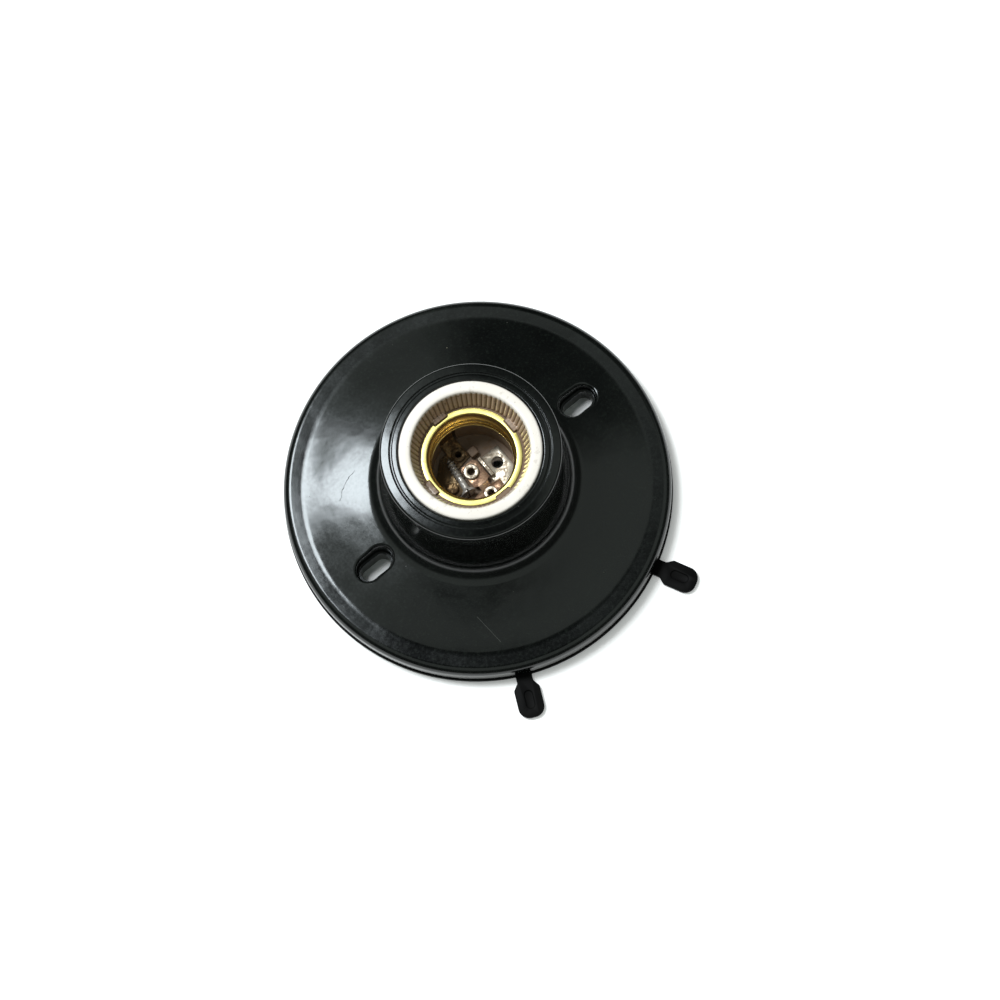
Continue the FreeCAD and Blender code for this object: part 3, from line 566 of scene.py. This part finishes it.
def dish(radius):
    """Height of the dished face at a radius: a cone with a slight dome across it."""
    share = (DISH_EDGE - radius) / (DISH_EDGE - NECK_FOOT)
    return DISH_LOW + DISH_SLOPE * (DISH_EDGE - radius) + DISH_DOME * 4 * share * (1 - share)


WELL_OUTSIDE = dish(WELL_AT) - WELL_WALL


def outer_face():
    """Corners of the face: ring edge, rim, dish, neck, collar and its groove."""
    return [
        (RIM_RADIUS, RING_TOP, 0.25, 2),
        (RIM_RADIUS, RIM_TOP - 0.10, 2.6, 9),
        (DISH_EDGE - 1.2, RIM_TOP - 0.14, 8.0, 6),
        *[(radius, dish(radius)) for radius in DISH_RINGS],
        (NECK_FOOT, dish(NECK_FOOT), 6.5, 12),
        (WAIST, COLLAR_LOW - 1.4, 2.2, 5),
        (COLLAR, COLLAR_LOW, 0.8, 4),
        (COLLAR, COLLAR_TOP + 0.05, 0.9, 5),
        (GROOVE_OUT, GROOVE_LOW + 0.40, 0.12, 2),
        (GROOVE_OUT - GROOVE_SIDE, GROOVE_LOW, 0.12, 2),
        (GROOVE_IN + 0.3, GROOVE_LOW + 0.05, 0.2, 2),
        (GROOVE_IN, GROOVE_LOW + 0.35, 0.2, 2),
        (BORE, SOCKET_TOP - 0.55, 0.45, 4),
    ]


def inner_face():
    """Corners of the bore and of the hollow behind the dish."""
    return [
        (BORE, HOLLOW_TOP),
        (HOLLOW, HOLLOW_TOP),
        (HOLLOW, HOLLOW_LOW, 0.8, 3),
        (SHOULDER, dish(SHOULDER) - DISH_WALL, 2.0, 4),
        (DISH_EDGE - 2.1, DISH_LOW - DISH_WALL, 0.5, 2),
        (RIM_RADIUS - RIM_WALL, DISH_LOW - DISH_WALL - 1.1, 0.8, 3),
        (RIM_RADIUS - RIM_WALL, RING_TOP, 0.25, 2),
    ]


def well_tool(side):
    """Slot tool with a soft mouth that follows the slope of the dish."""
    centre = side * WELL_AT
    floor = WELL_SEAT - dish(WELL_AT)
    above_dish = 9
    mouth = [Vector((0, above_dish)), Vector((WELL_RADIUS + WELL_ROUND + 0.05, above_dish))]
    for part in range(1, 9):
        angle = math.radians(90 * part / 8)
        mouth.append(Vector((WELL_RADIUS + WELL_ROUND * (1 - math.sin(angle)),
                             -WELL_ROUND * (1 - math.cos(angle)))))
    mouth += [Vector((WELL_RADIUS, floor + 0.3)), Vector((WELL_RADIUS - 0.3, floor)), Vector((0, floor))]
    tool = stretched(turned("well", mouth, 48, (centre, 0)), centre, WELL_HALF)

    def follow(at):
        share = ease((at.z - floor) / -floor)
        return at.x, at.y, at.z + dish(WELL_AT) + share * (dish(math.hypot(at.x, at.y)) - dish(WELL_AT))

    return reshape(tool, follow)


def slot_post(centre, radius, half, bottom, top):
    """Upright solid with round ends along X."""
    return stretched(post("slot", radius, (centre, 0), bottom, top, 64), centre, half)


def housing():
    piece = turned("moulded_housing", section([*outer_face(), *inner_face()]), 192)
    for side in (1, -1):
        centre = side * WELL_AT
        cut(piece, slot_post(centre, WELL_RADIUS + WELL_WALL, WELL_HALF, 0.0, WELL_OUTSIDE), "UNION")
        cut(piece, well_tool(side))
        cut(piece, slot_post(centre, FIXING_RADIUS, FIXING_HALF, -1.0, WELL_SEAT + 1.0))
        cut(piece, block("boss", (0, side * BOSS_AT, BOSS_MIDDLE), BOSS), "UNION")
        cut(piece, post("pilot", PILOT, (0, side * EAR_SCREW), 9.0, PILOT_TOP))
    weighted(smooth(merged(piece, 0.004), 40))
    dress(piece, HOLDER, "phenolic", "housing")


# ---------------------------------------------------------------- porcelain

CORE = 21.25
FUNNEL = 17.9
SEAT = 15.55
SEAT_TOP = SOCKET_TOP - 7.5
SEAT_DROP = 0.37
FLUTE_DEPTH = 0.42
SHELL_HOUSE = 13.9
LOWER_BORE = 13.0
LOWER_TOP = 28.9
BASE = 23.4
BASE_TOP = 22.0
RECESS = 17.5
RECESS_TOP = 13.0
EAR = (6.4, 7.0, 3.6)
EAR_AT = 25.1
EAR_HOLE = 1.7
CHANNEL_AT = (0, 13.0, 26.25)
CHANNEL = (6.0, 3.0, 16.5)
TERMINAL_HOLES = ((7.7, -1.2), (-8.2, -6.6))
STOP_AT = (3.9, 5.8, 18.7)
STOP = (2.7, 2.7, 3.4)
LUG_AT = 15.35
LUG_MIDDLE = 38.8
LUG_DEEP = 2.0
LUG_WIDE = 4.6
LUG_HIGH = 1.5


def porcelain_section():
    """Half section of the insert: recess, base, outer wall, funnel, bore and floor."""
    widen, deepen = (SEAT - FUNNEL) / 8, (SEAT_TOP - SOCKET_TOP) / 8
    return section([
        (0, RECESS_TOP),
        (RECESS, RECESS_TOP, 0.5, 3),
        (RECESS, CORE_LOW, 0.4, 2),
        (BASE, CORE_LOW, 0.8, 4),
        (BASE, BASE_TOP, 0.3, 2),
        (CORE, BASE_TOP),
        (CORE, SOCKET_TOP, 0.8, 5),
        (FUNNEL, SOCKET_TOP, 0.9, 6),
        *[(FUNNEL + widen * part, SOCKET_TOP + deepen * part) for part in range(2, 8)],
        (SEAT, SEAT_TOP, 0.1, 1),
        (SEAT, SEAT_TOP - SEAT_DROP),
        (SHELL_HOUSE, SEAT_TOP - SEAT_DROP, 0.12, 2),
        (SHELL_HOUSE, LOWER_TOP),
        (LOWER_BORE, LOWER_TOP, 0.3, 3),
        (LOWER_BORE, FLOOR, 0.4, 3),
        (0, FLOOR),
    ])


def flute(at):
    """Rounded flutes down the funnel, run out below the rim's round edge."""
    radius, angle = math.hypot(at.x, at.y), math.atan2(at.y, at.x)
    if not (SEAT - 0.3 < radius < FUNNEL + 0.2 and SEAT_TOP - 0.1 < at.z < SOCKET_TOP - 0.5):
        return at
    share = ease((SOCKET_TOP - 0.6 - at.z) / 0.8)
    wave = abs(math.sin(FLUTES * angle / 2))
    scale = (radius + share * FLUTE_DEPTH * (1 - wave)) / radius
    return at.x * scale, at.y * scale, at.z


def ears(piece):
    for side in (1, -1):
        ear = block("ear", (0, side * EAR_AT, CORE_LOW + EAR[2] / 2), EAR)
        cut(piece, bevelled(ear, 0.6, 3), "UNION")
        cut(piece, post("ear_hole", EAR_HOLE, (0, side * EAR_SCREW), 5.0, 11.0))


def floor_holes(piece):
    """Holes for the two rivets, the plate's screw and the wires."""
    holes = [(CONTACT_RIVET, 1.5), (SHELL_RIVET, 1.5), (PLATE_SCREW, 1.7)]
    holes += [(centre, 2.1) for centre in TERMINAL_HOLES]
    for centre, radius in holes:
        cut(piece, post("hole", radius, centre, 12.0, 19.0))


def lugs(piece):
    """A stop on the floor and three lugs in the notches of the shell's lip."""
    shapes = [(STOP_AT, STOP)]
    for x, y in ((1, 0), (-1, 0), (0, 1)):
        size = (LUG_DEEP if x else LUG_WIDE, LUG_DEEP if y else LUG_WIDE, LUG_HIGH)
        shapes.append(((x * LUG_AT, y * LUG_AT, LUG_MIDDLE), size))
    for centre, size in shapes:
        cut(piece, bevelled(block("lug", centre, size), 0.25, 3), "UNION")


def porcelain():
    piece = reshape(turned("porcelain_insert", porcelain_section(), FLUTES * 6), flute)
    ears(piece)
    cut(piece, block("channel", CHANNEL_AT, CHANNEL))
    floor_holes(piece)
    lugs(piece)
    smooth(merged(piece, 0.002), 40)
    dress(piece, HOLDER, "porcelain", "porcelain_core")


# ---------------------------------------------------------------- screw shell

SHELL_BORE = 13.25
SHELL_WALL = 0.35
SHELL_FOOT = 12.5
THREAD_PITCH = 3.629
THREAD_HEIGHT = 1.0
NOTCH_AT = 15.5
NOTCH_DEEP = 3.0
NOTCH_WIDE = 5.4
NOTCH_HIGH = 1.2


def thread(at):
    """Rolled thread: the tube's wall waves inwards along a helix and fades out at both ends."""
    radius, angle = math.hypot(at.x, at.y), math.atan2(at.y, at.x)
    if radius < SHELL_BORE - 0.05 or radius > SHELL_BORE + SHELL_WALL + 0.05 or at.z > LIP_TOP - 0.6:
        return at
    turn = (at.z - SHELL_LOW) / THREAD_PITCH - angle / (2 * math.pi)
    fade = ease((at.z - SHELL_LOW - 0.6) / 1.6) * ease((LIP_TOP - 1.0 - at.z) / 1.4)
    inward = THREAD_HEIGHT * fade * (0.5 - 0.5 * math.cos(2 * math.pi * turn))
    scale = (radius - inward) / radius
    return at.x * scale, at.y * scale, at.z


def shell_section():
    """Half section of the shell: turned-in foot, tube and flat lip."""
    outer, inner = SHELL_BORE + SHELL_WALL, SHELL_BORE
    levels = [SHELL_LOW + 0.5 + (LIP_TOP - SHELL_LOW - 1.3) * part / 40 for part in range(41)]
    return section([
        (SHELL_FOOT, SHELL_LOW, 0.08, 2),
        (outer, SHELL_LOW, 0.3, 3),
        *[(outer, level) for level in levels],
        (outer, LIP_TOP - SHELL_WALL, 0.1, 2),
        (LIP_RADIUS, LIP_TOP - SHELL_WALL, 0.1, 2),
        (LIP_RADIUS, LIP_TOP, 0.12, 3),
        (inner, LIP_TOP, 0.3, 4),
        *[(inner, level) for level in reversed(levels)],
        (inner, SHELL_LOW + SHELL_WALL, 0.1, 2),
        (SHELL_FOOT, SHELL_LOW + SHELL_WALL, 0.08, 2),
    ])


def screw_shell():
    piece = reshape(turned("threaded_shell", shell_section(), 144), thread)
    for x, y in ((1, 0), (-1, 0), (0, 1), (0, -1)):
        centre = (x * NOTCH_AT, y * NOTCH_AT, LIP_TOP)
        size = (NOTCH_DEEP if x else NOTCH_WIDE, NOTCH_DEEP if y else NOTCH_WIDE, NOTCH_HIGH)
        cut(piece, bevelled(block("notch", centre, size), 0.5, 3))
    smooth(merged(piece, 0.002), 50)
    dress(piece, HOLDER, "shell_brass", "screw_shell")


# ---------------------------------------------------------------- fixings

RIVET_BORE = 1.0
RIVET_SHANK = 1.45
RIVET_TAIL = 2.1
RIVET_HEAD = 2.2
BUTTON_BORE = 1.05
BUTTON_NECK = 1.55
BUTTON_FOOT = 2.2
BUTTON_HEAD = 2.45
WASHER = 2.9
RIVET_WASHER = 3.0
PLATE_SCREW_SHANK = 1.2
PLATE_SCREW_HEAD = 1.8
EAR_SCREW_SHANK = 1.1
EAR_SCREW_HEAD = 2.5


def hollow_rivet(node, centre):
    """Rolled tubular rivet with a flared tail."""
    tail, top = low(node).z, high(node).z
    head = top - 0.5
    points = section([
        (RIVET_BORE, tail, 0.15, 3),
        (RIVET_TAIL, tail, 0.2, 3),
        (RIVET_HEAD, tail + 0.5, 0.12, 2),
        (RIVET_SHANK, tail + 0.5),
        (RIVET_SHANK, head),
        (RIVET_HEAD, head, 0.12, 2),
        (RIVET_HEAD, top, 0.35, 5),
        (RIVET_BORE, top, 0.3, 4),
    ])
    return smooth(turned(node + "_rolled", points, 48, centre), 40)


def button():
    """Raised eyelet with a rolled edge, through the tongue."""
    foot, top = low("contact_button").z, high("contact_button").z
    base = foot + 0.35
    points = section([
        (BUTTON_BORE, foot, 0.1, 2),
        (BUTTON_FOOT, foot, 0.12, 2),
        (BUTTON_FOOT, base, 0.05, 1),
        (BUTTON_NECK, base),
        (BUTTON_NECK, base + 0.5),
        (BUTTON_HEAD, base + 0.5, 0.1, 2),
        (BUTTON_HEAD, top, 0.42, 6),
        (BUTTON_BORE, top, 0.34, 5),
    ])
    return smooth(turned("contact_eyelet", points, 64, BUTTON), 40)


def flat_washer(node, centre, inner, outer):
    bottom, top = low(node).z, high(node).z
    points = section([(inner, bottom, 0.06, 2), (outer, bottom, 0.1, 2), (outer, top, 0.1, 2),
                      (inner, top, 0.06, 2)])
    return smooth(turned(node + "_flat", points, 48, centre), 40)


def turned_block(tool, centre, angle):
    """Turn a tool about an upright axis through a centre."""
    spin = Matrix.Rotation(math.radians(angle), 2)
    axis = Vector(centre)

    def move(at):
        flat = spin @ (Vector((at.x, at.y)) - axis) + axis
        return flat.x, flat.y, at.z

    return reshape(tool, move)


def plate_screw():
    """Cheese head screw in the neutral plate."""
    bottom, top = low("neutral_screw").z, high("neutral_screw").z
    points = section([
        (0, bottom),
        (PLATE_SCREW_SHANK, bottom, 0.3, 3),
        (PLATE_SCREW_SHANK, PLATE_TOP),
        (PLATE_SCREW_HEAD, PLATE_TOP, 0.1, 2),
        (PLATE_SCREW_HEAD, top, 0.45, 5),
        (0, top),
    ])
    piece = turned("terminal_screw", points, 48, PLATE_SCREW)
    driver = block("driver", (*PLATE_SCREW, top), (5.0, 0.5, 1.3))
    return smooth(cut(piece, turned_block(driver, PLATE_SCREW, 35)), 40)


def ear_screw(index, side):
    """Pan head screw, head down, through an ear of the porcelain."""
    node = "core_screw_%d" % index
    bottom, top = low(node).z, high(node).z
    head = bottom + 1.8
    points = section([
        (0, bottom),
        (EAR_SCREW_HEAD, bottom, 1.0, 5),
        (EAR_SCREW_HEAD, head, 0.1, 2),
        (EAR_SCREW_SHANK, head),
        (EAR_SCREW_SHANK, top - 0.6),
        (0.5, top),
        (0, top),
    ])
    centre = (0, side * EAR_SCREW)
    piece = turned(node + "_pan", points, 48, centre)
    return smooth(cut(piece, block("driver", (*centre, bottom), (6.0, 0.6, 1.4))), 40)


# ---------------------------------------------------------------- loose screw

LOOSE_LENGTH = 13.1
LOOSE_TIP = (-3.3, 8.9, 19.12)
LOOSE_TILT = Vector((-0.159, -0.979, 0.126))
LOOSE_THREADED = 8.0
LOOSE_PITCH = 1.25
LOOSE_CREST = 0.56
LOOSE_POINT = 0.25
LOOSE_CORE = 0.65
LOOSE_SHANK = 1.08
LOOSE_HEAD = 2.5


def loose_section():
    """Half outline of the screw, upright on its tip: point, tapered core, shank and countersunk head."""
    levels = [0.15 + LOOSE_THREADED * part / 64 for part in range(65)]
    corners = [(0, 0), (0.06, 0.05)]
    corners += [(LOOSE_POINT + LOOSE_CORE * ease(level / 2.4), level) for level in levels]
    corners += [
        (LOOSE_SHANK - 0.03, 8.6),
        (LOOSE_SHANK, LOOSE_LENGTH - 1.9),
        (LOOSE_HEAD - 0.05, LOOSE_LENGTH - 0.45),
        (LOOSE_HEAD, LOOSE_LENGTH - 0.3),
        (LOOSE_HEAD - 0.08, LOOSE_LENGTH - 0.08),
        (LOOSE_HEAD - 0.3, LOOSE_LENGTH),
        (0, LOOSE_LENGTH),
    ]
    return [Vector(corner) for corner in corners]


def loose_thread(at):
    """Sharp thread that runs out at the point and before the shank."""
    radius, angle = math.hypot(at.x, at.y), math.atan2(at.y, at.x)
    if radius < 0.01 or at.z > 8.4:
        return at
    turn = (at.z / LOOSE_PITCH - angle / (2 * math.pi)) % 1.0
    crest = max(0.0, 1 - abs(turn - 0.5) / 0.28)
    height = LOOSE_CREST * crest * ease(at.z / 1.0) * ease((8.3 - at.z) / 0.8)
    scale = (radius + height) / radius
    return at.x * scale, at.y * scale, at.z


def wood_screw():
    """Countersunk wood screw, made upright on its tip and laid on the plates."""
    piece = reshape(turned("wood_screw", loose_section(), 36), loose_thread)
    cut(piece, block("driver", (0, 0, LOOSE_LENGTH), (6.0, 0.6, 1.7)))
    lay = LOOSE_TILT.normalized().to_track_quat("Z", "X")
    reshape(piece, lambda at: lay @ at + Vector(LOOSE_TIP))
    return smooth(piece, 40)


# ---------------------------------------------------------------- small pieces in their places

def rivets():
    for node, centre, slot in (("contact_rivet", CONTACT_RIVET, "nickel_plate"),
                               ("shell_rivet", SHELL_RIVET, "aged_plate")):
        dress(hollow_rivet(node, centre), HOLDER, slot, node)
    dress(button(), CONTACT, "nickel_plate", "contact_button")


def washers():
    for node, centre, inner, outer in (
            ("contact_washer", CONTACT_RIVET, 1.5, RIVET_WASHER),
            ("shell_washer", SHELL_RIVET, 1.5, RIVET_WASHER),
            ("core_washer_1", (0, EAR_SCREW), 1.2, WASHER), ("core_washer_2", (0, -EAR_SCREW), 1.2, WASHER)):
        dress(flat_washer(node, centre, inner, outer), HOLDER, "zinc_steel", node)


def screws():
    for index, side in ((1, 1), (2, -1)):
        dress(ear_screw(index, side), HOLDER, "zinc_steel", "core_screw_%d" % index)
    dress(plate_screw(), HOLDER, "aged_screw", "neutral_screw")
    dress(wood_screw(), HOLDER, "screw_steel", "loose_screw")


def sheet_parts():
    """Sheet metal and the backing ring: their own shapes with soft edges."""
    for node, width, slot, body in (
            ("backing_ring", 0.18, "ring_rubber", HOLDER), ("shell_strap", 0.08, "strap_brass", HOLDER),
            ("neutral_plate", 0.1, "aged_plate", HOLDER), ("line_plate", 0.1, "nickel_plate", HOLDER),
            ("centre_contact", 0.08, "contact_bronze", CONTACT)):
        dress(copied(node, width), body, slot, node)


housing()
porcelain()
screw_shell()
rivets()
washers()
screws()
sheet_parts()


# ---------------------------------------------------------------- stage, light and camera

AIM = Vector((0, 0, 20.0))
SHIFT = (7.558, -7.908)
TURN, TILT, ROLL = math.radians(-30.22), math.radians(74.67), math.radians(-9.54)
DISTANCE = 941.0
LENS = 112.26
TABLE = 6.0
TABLE_DROP = 0.2


def view_axes():
    """Directions to the right, up and back of the camera."""
    back = Vector((math.sin(TURN) * math.cos(TILT), -math.cos(TURN) * math.cos(TILT), math.sin(TILT)))
    right = Vector((math.cos(TURN), math.sin(TURN), 0))
    up = back.cross(right)
    return (right * math.cos(ROLL) + up * math.sin(ROLL), up * math.cos(ROLL) - right * math.sin(ROLL), back)


RIGHT, UP, BACK = view_axes()


def camera():
    data = bpy.data.cameras.new("camera")
    data.lens, data.sensor_width = LENS, 36.0
    data.clip_start, data.clip_end = 0.05, 20.0
    seen_from = bpy.data.objects.new("camera", data)
    bpy.context.scene.collection.objects.link(seen_from)
    place = AIM + RIGHT * SHIFT[0] + UP * SHIFT[1] + BACK * DISTANCE
    turn = Matrix((RIGHT, UP, BACK)).transposed().to_4x4()
    seen_from.matrix_world = Matrix.Translation(place * MM) @ turn
    bpy.context.scene.camera = seen_from


def panel(name, across, along, away, size, power, tint):
    """Soft panel that faces the object, placed in metres by the camera's own directions."""
    data = bpy.data.lights.new(name, "AREA")
    data.shape, data.size, data.size_y = "RECTANGLE", size[0], size[1]
    data.energy, data.color = power, tint
    light = bpy.data.objects.new(name, data)
    bpy.context.scene.collection.objects.link(light)
    place = RIGHT * across + UP * along + BACK * away
    light.location = place
    light.rotation_euler = place.to_track_quat("Z", "Y").to_euler()
    return light


def table_floor():
    """Plain pale table, lit a little from itself outside the object so that it stays white."""
    bpy.ops.object.select_all(action="DESELECT")
    bpy.ops.mesh.primitive_plane_add(size=TABLE, location=(0, 0, -TABLE_DROP * MM))
    floor = bpy.context.object
    floor.name = "table"
    material, shader, place = finish("white_table", specular=0.2)
    surface(shader, place.noise(8.0).tint((0.3, (0.90, 0.90, 0.90)), (0.7, (0.93, 0.93, 0.93))), 0.7)
    x, y, z = place.parts()
    outside = (x * x + y * y).maths("SQRT").above(RIM_RADIUS * MM, 6 * MM)
    place.feed(outside.over((0.0, 0.0, 0.0), (1.0, 1.0, 1.0)), shader.inputs["Emission Color"])
    shader.inputs["Emission Strength"].default_value = 0.32
    floor.data.materials.append(material)
    floor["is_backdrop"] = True


def room():
    """Grey room, dark overhead, towards one corner and near the floor."""
    world = bpy.data.worlds.new("room")
    world.use_nodes = True
    ground = world.node_tree.nodes["Background"]
    way = Shade(world.node_tree.nodes.new("ShaderNodeTexCoord").outputs["Generated"])

    def toward(direction, edge, width):
        straight = Vector(direction).normalized()
        return way.node("VectorMath", {"operation": "DOT_PRODUCT"}, 1, i0=way, i1=straight).above(edge, width)

    ceiling = toward((-0.008, 0.0625, 1), 0.9705, 0.007)
    corner = toward((0.56, 0.38, 0.74), 0.945, 0.06)
    overhead = toward((0, 0, 1), 0.66, 0.16)
    way.feed((0.80, 0.90, 0.84), ground.inputs["Color"])
    brightness = (1.0 - ceiling * 0.95) * (1.0 - corner * 0.88) * (overhead * 0.46 + 0.09)
    way.feed(brightness, ground.inputs["Strength"])
    bpy.context.scene.world = world
    bpy.context.scene.view_settings.view_transform = "Standard"


def lighting():
    """A key panel that lights all but the gloss moulding, and a window for the moulding to mirror."""
    key = panel("key", -0.45, 0.55, 0.95, (0.45, 0.45), 7.2, (1.0, 0.985, 0.96))
    lit = bpy.data.collections.new("lit_by_key")
    for piece in [*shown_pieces(), bpy.data.objects["table"]]:
        if piece.name != "moulded_housing":
            lit.objects.link(piece)
    key.light_linking.receiver_collection = lit
    panel("window", -0.43, 0.44, 0.77, (0.24, 0.40), 6.4, (0.86, 0.95, 1.0))


camera()
table_floor()
room()
lighting()
